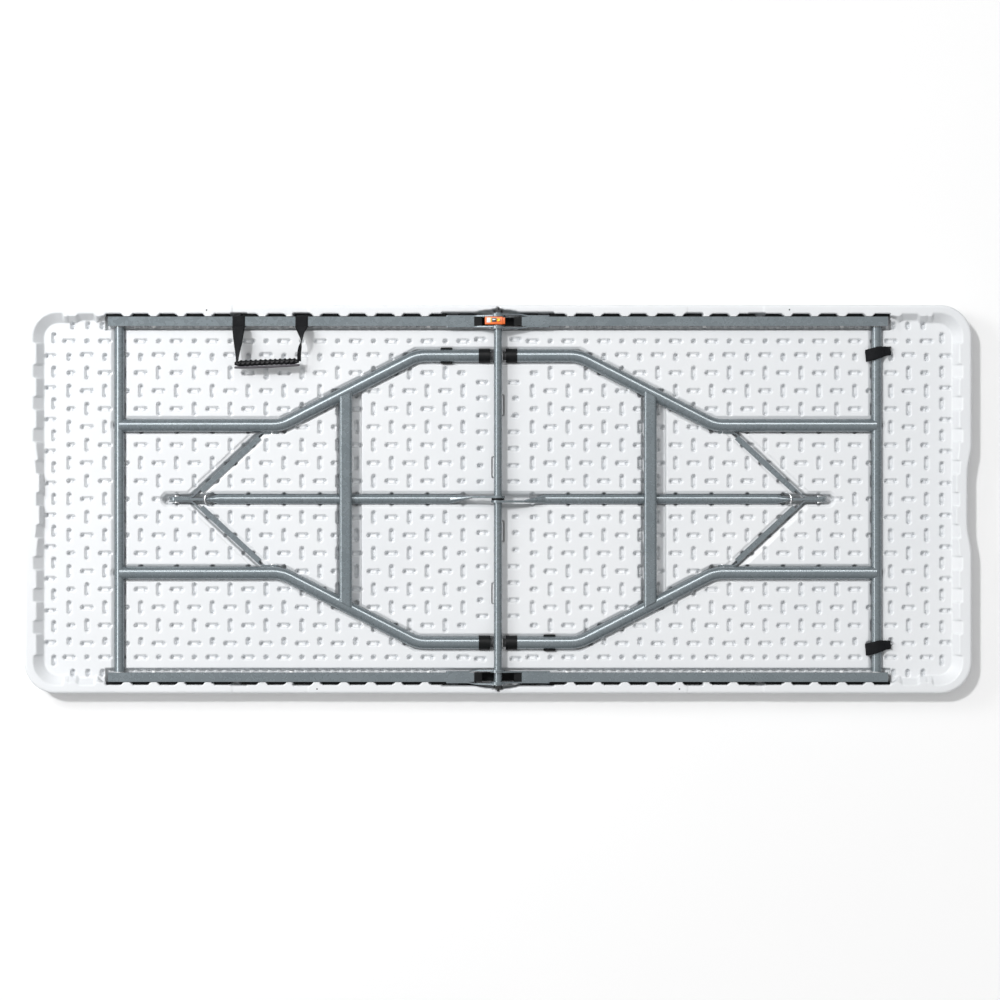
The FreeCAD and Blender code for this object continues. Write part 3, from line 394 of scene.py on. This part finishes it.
def pits():
    """(x, y, half length, upright) of every pit. Those with a half length near 5 are round."""
    found = []
    for i in range(0, 23):
        for m in range(-9, 10):
            x, y, far = FIRST_X + PITCH_X * i, PITCH_Y * m, abs(m)
            upright = (i + m) % 2 == 0
            sign = 1 if m > 0 else -1
            if far == 9:
                found.append((x, 305.8 * sign, 5.2 if upright else 13, False))
            elif upright:
                found.append((x, 275 * sign, 8, True) if far == 8 else (x, y, 13.3, True))
            elif i == 0:
                found.append((-825.5, y, 8.5, False))
            elif i == 22:
                found.append((x - 3, y, 8.5, False))
            else:
                found.append((x, y, 13.3, False))
    for k in range(-5, 6):
        if abs(k) < 5:
            found.append((-858.8, 61.6 * k, 11.8, True))
        else:
            found.append((-858.8, 312 * (1 if k > 0 else -1), 11, True))
    for k in range(-5, 5):
        found.append((-865.5, 61.6 * k + 30.8, 11.5, False))
    for x in (-822.5, -793, -765):
        found += [(x, 336, 8, True), (x, -336, 8, True)]
    for y, wide in ((226, 1), (195, 1), (162, 1), (130, 1), (98, 0), (65, 0), (34, 0),
                    (-34, 1), (-65, 1), (-98, 1), (-130, 1), (-162, 0), (-195, 0), (-226, 1)):
        found.append((-30, y, 12, False) if wide else (-34, y, 6.8, False))
    for y in (309, -309):
        found.append((-34, y, 12, False))
    return found


def cut_pits(x, y, xs, ys, z):
    """Sinks each pit: steep sides, two deep ends and a hump between them."""
    for px, py, half, upright in pits():
        i0, i1 = np.searchsorted(xs, (px - PIT_WINDOW, px + PIT_WINDOW))
        j0, j1 = np.searchsorted(ys, (py - PIT_WINDOW, py + PIT_WINDOW))
        window = (slice(j0, j1), slice(i0, i1))
        dx, dy = x[window] - px, y[window] - py
        if upright:
            dx, dy = dy, dx
        past_straight = np.maximum(np.abs(dx) - (half - PIT_RADIUS), 0)
        outside = np.hypot(past_straight, dy) - PIT_RADIUS
        inside = smooth_step(-outside / PIT_WALL)
        ends = smooth_step((np.abs(dx) - (half - 8.5)) / 4.0)
        depth = (7.2 if upright else 5.2) + (3.6 if upright else 5.6) * ends
        z[window] = np.minimum(z[window], np.maximum(z[window] - depth * inside, PIT_LIMIT))
    return z


def cut_cells(x, y, z):
    """The row of small cells beside each rail."""
    far = np.abs(y)
    cell = trapezoid(wrapped(x, CELL_PITCH), 7, 11) * trapezoid(far - 331.3, 2, 5)
    return z - 6 * cell * ((x > -750) & (x < -110))


def outline_order(rows, columns):
    """Indices of the grid's edge, counter-clockwise from above."""
    at = np.arange(rows * columns).reshape(rows, columns)
    return np.concatenate([at[0, :], at[1:, -1], at[-1, -2::-1], at[-2:0:-1, 0]])


def panel(name, node, body, turn):
    """One panel: its moulded underside, its rounded edge and its flat face."""
    xs, ys = lines()
    x, y = warped(xs, ys)
    bar_room = (-323.5, -279.0) if turn else (-309.5, -265.5)
    z = cut_pits(x, y, xs, ys, relief(x, y, bar_room))
    z = cut_cells(x, y, z)
    rows, columns = z.shape
    points = np.column_stack([x.ravel(), y.ravel(), z.ravel()])
    at = np.arange(rows * columns).reshape(rows, columns)
    quads = np.stack([at[:-1, :-1], at[:-1, 1:], at[1:, 1:], at[1:, :-1]], -1).reshape(-1, 4)
    loop = outline_order(rows, columns)
    edge = points[loop][:, :2]
    run = np.roll(edge, -1, 0) - np.roll(edge, 1, 0)
    run_length = np.maximum(np.linalg.norm(run, axis=1), 1e-6)
    inward = np.column_stack([-run[:, 1], run[:, 0]]) / run_length[:, None]
    previous, blocks, start = loop, [quads], len(points)
    for level, inset in ((14.0, 0.0), (5.0, 0.0), (2.2, 0.5), (0.7, 1.7), (0.0, 3.2)):
        # Down the outer side, then round the edge to the tabletop's face.
        ring = np.column_stack([edge + inward * inset, np.full(len(loop), level)])
        points = np.vstack([points, ring])
        here = np.arange(start, start + len(loop))
        blocks.append(np.column_stack([previous, here, np.roll(here, -1), np.roll(previous, -1)]))
        previous, start = here, start + len(loop)
    if turn:
        points[:, :2] *= -1
    faces = np.vstack(blocks).tolist() + [previous[::-1].tolist()]
    piece = new_piece(name, points, faces, HDPE, body)
    piece.data.polygons[len(faces) - 1].use_smooth = False
    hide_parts(node)


panel("left_moulded_panel", "left_panel", "left_half", False)
panel("right_moulded_panel", "right_panel", "right_half", True)


# Webbing and the handle
def ribbon(name, stations, thick, material, body, per=10, fray=0.0):
    """A tape through (centre, half of its width as a vector), all in mm."""
    centres = np.array([s[0] for s in stations], float)
    halves = np.array([s[1] for s in stations], float)
    steps = np.linspace(0, len(stations) - 1, (len(stations) - 1) * per + 1)

    def smooth_through(values):
        tangents = np.gradient(values, axis=0)
        i = np.clip(steps.astype(int), 0, len(stations) - 2)
        t = (steps - i)[:, None]
        a, b = values[i], values[i + 1]
        ta, tb = tangents[i], tangents[i + 1]
        return ((2 * t**3 - 3 * t**2 + 1) * a + (t**3 - 2 * t**2 + t) * ta
                + (3 * t**2 - 2 * t**3) * b + (t**3 - t**2) * tb)

    line, half = smooth_through(centres), smooth_through(halves)
    along_line = np.gradient(line, axis=0)
    normal = np.cross(half, along_line)
    normal /= np.maximum(np.linalg.norm(normal, axis=1), 1e-9)[:, None]
    across = 9
    rng = np.random.default_rng(7)
    points = []
    for k in range(len(line)):
        upper, lower = [], []
        for j in range(across):
            s = 2 * j / (across - 1) - 1
            edge = 1 - 0.45 * smooth_step(np.array((abs(s) - 0.7) / 0.3))
            middle = line[k] + half[k] * s
            if fray:
                middle = middle + rng.normal(0, fray, 3)
            upper.append(middle + normal[k] * thick / 2 * edge)
            lower.append(middle - normal[k] * thick / 2 * edge)
        points += upper + lower[::-1]
    return new_piece(name, points, ring_faces(len(line), 2 * across), material, body)


def handle():
    """Two webs from the rear rail, twisting down to a ribbed grip."""
    left = [((-500.5, 333.7, 45.9), (12, 0, 0)), ((-500.7, 329, 49.0), (11.8, 0, 0.8)),
            ((-500.8, 318, 51.5), (10.6, 0, 3.2)),
            ((-501.2, 303, 53.6), (8.6, 0, 5.6)), ((-502.0, 286, 53.8), (5.3, 0, 6.8)),
            ((-502.8, 271, 52.6), (2.9, 0, 6.2)), ((-503.2, 262, 51.2), (1.8, 0, 5.0))]
    right = [((-379.0, 333.7, 45.9), (12.2, 0, 0.2)), ((-379.2, 329, 49.2), (10.8, 0, 2.5)),
             ((-379.6, 320, 51.8), (6.2, 0, 6.0)),
             ((-378.6, 307, 54.0), (1.6, 0, 7.4)), ((-381.2, 295, 54.4), (-2.2, 0, 7.2)),
             ((-383.0, 282, 53.8), (-3.0, 0, 6.4)), ((-383.4, 266, 52.2), (-3.2, 0, 5.2))]
    for side, stations in (("left", left), ("right", right)):
        web = ribbon(f"handle_tape_{side}", stations, 1.5, WEBBING, "handle")
        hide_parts(f"handle_web_{side}")
    grip()


def handle_loops():
    """The tape loops that hold the webs, sewn round the rail."""
    reach, rise, soft = 9.95, 13.2, 2.2
    for side, place in (("left", -500.5), ("right", -379.0)):
        stations = []
        for sy, sz in ((1, -1), (1, 1), (-1, 1), (-1, -1), (1, -1)):
            for k in range(3):
                angle = math.atan2(sz, sy) + (k - 1) * math.pi / 4
                y = 343.5 + sy * (reach - soft) + soft * math.cos(angle)
                z = 31.25 + sz * (rise - soft) + soft * math.sin(angle)
                stations.append(((place, y, z), (12, 0, 0)))
        loop = ribbon(f"handle_tape_loop_{side}", stations, 1.1, WEBBING, "left_half", per=5)
        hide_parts(f"handle_loop_{side}")


def grip():
    """A moulded grip: a ribbed roll with a smooth flange along its lower side."""
    start, end = np.array((-508.0, 260.0, 50.5)), np.array((-383.5, 265.0, 50.5))
    length = np.linalg.norm(end - start)
    forward = (end - start) / length
    side = np.array((-forward[1], forward[0], 0))
    rings, count, points = 240, 28, []
    for k in range(rings):
        t = k / (rings - 1)
        taper = min(1.0, 0.55 + 6 * min(t, 1 - t))
        for j in range(count):
            angle = 2 * math.pi * j / count
            s, u = math.cos(angle), math.sin(angle)
            rib = 0.5 + 0.5 * math.cos(2 * math.pi * (t * length - 3.5 * s) / 9.4)
            grow = 0.78 + 0.26 * smooth_step(np.array(rib * 1.6 - 0.4)) * (1 if s > -0.55 else 0.2)
            rise = np.array((0, 0, 1)) * (5.9 * u * grow * taper)
            off = side * (6.5 * s * grow * taper + 1.2) + rise
            points.append(start + forward * (t * length) + off)
    roll = new_piece("grip_roll", points, ring_faces(rings, count), GRIP, "handle")
    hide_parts("handle_grip")
    stations = []
    for t in (-0.005, 0.04, 0.25, 0.5, 0.75, 0.96, 1.005):
        bow = -6.0 - 1.0 * math.sin(math.pi * min(max(t, 0), 1))
        narrow = 0.6 if t < 0 or t > 1 else 1
        stations.append((start + forward * (t * length) + side * bow, side * 2.3 * narrow))
    flange = ribbon("grip_flange", stations, 6.5, FLANGE, "handle", per=8)


handle()
handle_loops()


def tie_strap(side, sign):
    """A hook-and-loop tie over the right cross tube, with a frayed tail lying outwards."""
    stations = [((711, 277, 31.5), (-1.0, 11.6, 0)), ((717, 278.5, 35.5), (-1.0, 11.8, 0)),
                ((725, 280.5, 39.2), (-1.6, 11.6, 0)), ((733, 283, 40.0), (-2.4, 11.4, 0)),
                ((741, 285, 37.5), (-2.6, 10.4, 0.5)), ((747, 286, 34.2), (-2.4, 9.2, 0.8)),
                ((754, 286.5, 32.6), (-2.0, 8.6, 1.0)), ((759, 287, 32.8), (-1.6, 7.6, 1.4))]
    if sign < 0:
        # This one is put on the same way, so it isn't mirrored.
        stations = [((c[0], c[1] - 568, c[2]), h) for c, h in stations]
    strap = ribbon(f"hook_tie_{side}", stations, 2.4, WEBBING, "right_half", per=7, fray=0.22)
    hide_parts(f"tie_strap_{side}")
    rng = np.random.default_rng(11 if sign > 0 else 12)
    centre = 284 * sign + 3
    points, faces = [], []
    for k in range(46):
        root = np.array((757 + rng.uniform(-2.0, 1.5), centre + rng.uniform(-8.5, 8.0),
                         33 + rng.uniform(-1, 1.6)))
        aim = np.array((rng.uniform(1.6, 5.2), rng.uniform(-2.0, 3.4), rng.uniform(-0.8, 1.6)))
        wide = rng.uniform(0.35, 0.8)
        n = len(points)
        for t in (0.0, 0.6, 1.0):
            r = wide * (1 - 0.75 * t)
            p = root + aim * t
            points += [p + (0, r, 0), p + (0, -r * 0.5, r * 0.8), p + (0, -r * 0.5, -r * 0.8)]
        faces += [tuple(n + i for i in f) for f in ring_faces(3, 3)]
    fringe = new_piece(f"hook_fringe_{side}", points, faces, WEBBING, "right_half", smooth=False)


tie_strap("rear", 1)
tie_strap("front", -1)


# The latch, with plain colour blocks where a label would be, and a painted highlight on its black
# block
def rounded_block(name, low, high, radius, material, body, top_shift=(0, 0), segments=4):
    """A block with rounded edges, whose top may be shifted."""
    low, high = np.array(low, float), np.array(high, float)
    rings = []
    count = 4 * (segments + 1)
    # Both are shares of the radius: up from the bottom or the top, and in from the side.
    for level, inset in ((0, 1), (0.3, 0.3), (1, 0), (-1, 0), (-0.3, 0.3), (0, 1)):
        at_top = len(rings) > 2
        z = (high[2] if at_top else low[2]) + level * radius
        share = (z - low[2]) / (high[2] - low[2])
        shift = np.array(top_shift) * share
        ring = []
        for corner in range(4):
            sx, sy = ((1, 1), (-1, 1), (-1, -1), (1, -1))[corner]
            middle = np.array((high[0] if sx > 0 else low[0], high[1] if sy > 0 else low[1]))
            middle = middle - np.array((sx, sy)) * radius
            for k in range(segments + 1):
                angle = (corner + k / segments) * math.pi / 2
                r = radius - radius * inset
                place = middle + shift + r * np.array((math.cos(angle), math.sin(angle)))
                ring.append((*place, z))
        rings.append(ring)
    points = [p for ring in rings for p in ring]
    return new_piece(name, points, ring_faces(len(rings), count), material, body)


def latch():
    low, high = (-25.2, 336.4, 54.2), (9.5, 351.4, 59.3)
    block = rounded_block("latch_slide", low, high, 1.4, ORANGE, "latch", (0, 0.6))
    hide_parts("safety_latch")
    wing = rounded_block("latch_wing", (6.0, 337.4, 54.2), (13.8, 350.4, 57.2), 1.2,
                         ORANGE, "latch")
    for name, x0, y0, x1, y1, material in (
        ("patch_white", -21.5, 340.6, -14.6, 349.8, WHITE_PATCH),
        ("patch_yellow", -14.4, 340.6, -12.6, 349.8, YELLOW_PATCH),
        ("patch_black", -12.2, 341.6, -2.8, 349.6, BLACK_PATCH),
        # The pale strip on the black block is a painted highlight, not print.
        ("patch_painted_glint", -10.6, 345.2, -4.8, 347.4, WHITE_PATCH),
        ("patch_spot", -2.4, 342.6, 3.8, 348.8, YELLOW_PATCH),
    ):
        top = 59.45 if name != "patch_painted_glint" else 59.6
        radius = min(x1 - x0, y1 - y0) / 2 - 0.05 if name == "patch_spot" else 0.12
        patch = rounded_block(name, (x0, y0, 59.1), (x1, y1, top), radius, material, "latch")


latch()


# Black blocks of painted shade in the rim's notches, and plugs in its vent holes
def painted_notch_shade():
    # Each long notch gets a black block low in it: painted shade, standing in for the deep shade of
    # the narrow notch.
    for side, turn in (("left", 1), ("right", -1)):
        points, faces = [], []
        for middle in np.arange(FIRST_LONG_NOTCH, LAST_LONG_NOTCH, LONG_NOTCH_PITCH):
            for sign in (1, -1):
                n = len(points)
                for z, inset in ((8, 0), (31, 0), (32, 1)):
                    x0, x1 = middle - 15 + inset, middle + 15 - inset
                    y0, y1 = 353.5, 357.9 - inset
                    corners = ((x0, y0), (x1, y0), (x1, y1), (x0, y1))[::sign]
                    points += [(turn * x, turn * sign * y, z) for x, y in corners]
                faces += [tuple(n + i for i in f) for f in ring_faces(3, 4)]
        notch_shade_piece = new_piece(f"painted_notch_shade_{side}", points, faces, BLACK, f"{side}_half", smooth=False)


painted_notch_shade()


def vents():
    for side, places in (("left", ((-562.4, 365.2), (-349.3, -366.3))),
                         ("right", ((562.6, 365.8), (350.3, -366.3)))):
        points, faces = [], []
        for x, y in places:
            n = len(points)
            for radius, z in ((1.5, RIM + 0.05), (1.1, RIM + 0.15), (0.7, RIM + 0.05)):
                points += [(x + radius * math.cos(a), y + radius * math.sin(a), z)
                           for a in np.linspace(0, 2 * math.pi, 13)[:-1]]
            faces += [tuple(n + i for i in f) for f in ring_faces(3, 12)]
        plug = new_piece(f"vent_plugs_{side}", points, faces, BLACK, f"{side}_half")


vents()


# Studio
def add_light(name, kind, energy, aim, place=(0, 0, 0)):
    """A light that shines along aim. Returns the object, whose data can still be set."""
    data = bpy.data.lights.new(name, kind)
    data.energy = energy
    light = bpy.data.objects.new(name, data)
    light.location = place
    light.rotation_euler = Vector(aim).to_track_quat("-Z", "Y").to_euler()
    bpy.context.scene.collection.objects.link(light)
    return light


def studio():
    scene = bpy.context.scene
    floor_mesh = bpy.data.meshes.new("floor")
    far, below = 8.0, -0.0006
    corners = [(sx * far, sy * far, below) for sx, sy in ((-1, -1), (1, -1), (1, 1), (-1, 1))]
    floor_mesh.from_pydata(corners, [], [(0, 1, 2, 3)])
    floor_mesh.materials.append(surface("floor", (0.94, 0.94, 0.94), (0.95, 0.95, 0.95),
                                        (0.8, 0.9), patch=1, grain=60, strength=0.02))
    floor = bpy.data.objects.new("floor", floor_mesh)
    scene.collection.objects.link(floor)
    sun = add_light("key", "SUN", 1.5, aim=(0.53, -0.45, -1))
    sun.data.angle = math.radians(5)
    soft_box = add_light("soft_box", "AREA", 27.0, aim=(2.0, -1.1, -1.8), place=(-2.1, 1.2, 1.8))
    soft_box.data.size = 1.0
    # Two long strips that only show as highlights along the tubes.
    for name, power, long_side, place in (("strip_rear", 64, 3.4, (-0.2, 1.5, 2.3)),
                                          ("strip_left", 42, 2.4, (-2.0, 0.2, 1.7))):
        strip = add_light(name, "AREA", power, aim=-Vector(place), place=place)
        strip.data.shape = "RECTANGLE"
        strip.data.size, strip.data.size_y = long_side, 0.8
        strip.visible_diffuse = False
    world = bpy.data.worlds.new("studio")
    world.use_nodes = True
    # Brighter overhead than at the horizon, like a room with a lit ceiling.
    tree = world.node_tree
    place = tree.nodes.new("ShaderNodeTexCoord")
    split = tree.nodes.new("ShaderNodeSeparateXYZ")
    climb = tree.nodes.new("ShaderNodeMapRange")
    climb.inputs["To Min"].default_value, climb.inputs["To Max"].default_value = 0.2, 0.7
    tree.links.new(place.outputs["Generated"], split.inputs["Vector"])
    tree.links.new(split.outputs["Z"], climb.inputs["Value"])
    tree.links.new(climb.outputs["Result"], tree.nodes["Background"].inputs["Strength"])
    tree.nodes["Background"].inputs["Color"].default_value = (1.0, 1.0, 1.0, 1)
    scene.world = world
    scene.view_settings.view_transform = "Standard"
    camera_data = bpy.data.cameras.new("camera")
    height, across = 7.5, 1.93
    camera_data.lens = camera_data.sensor_width * (height - RIM * MM) / across
    camera_data.clip_end = 50
    camera = bpy.data.objects.new("camera", camera_data)
    camera.location = (0.0039, -0.0015, height)
    scene.collection.objects.link(camera)
    scene.camera = camera


studio()
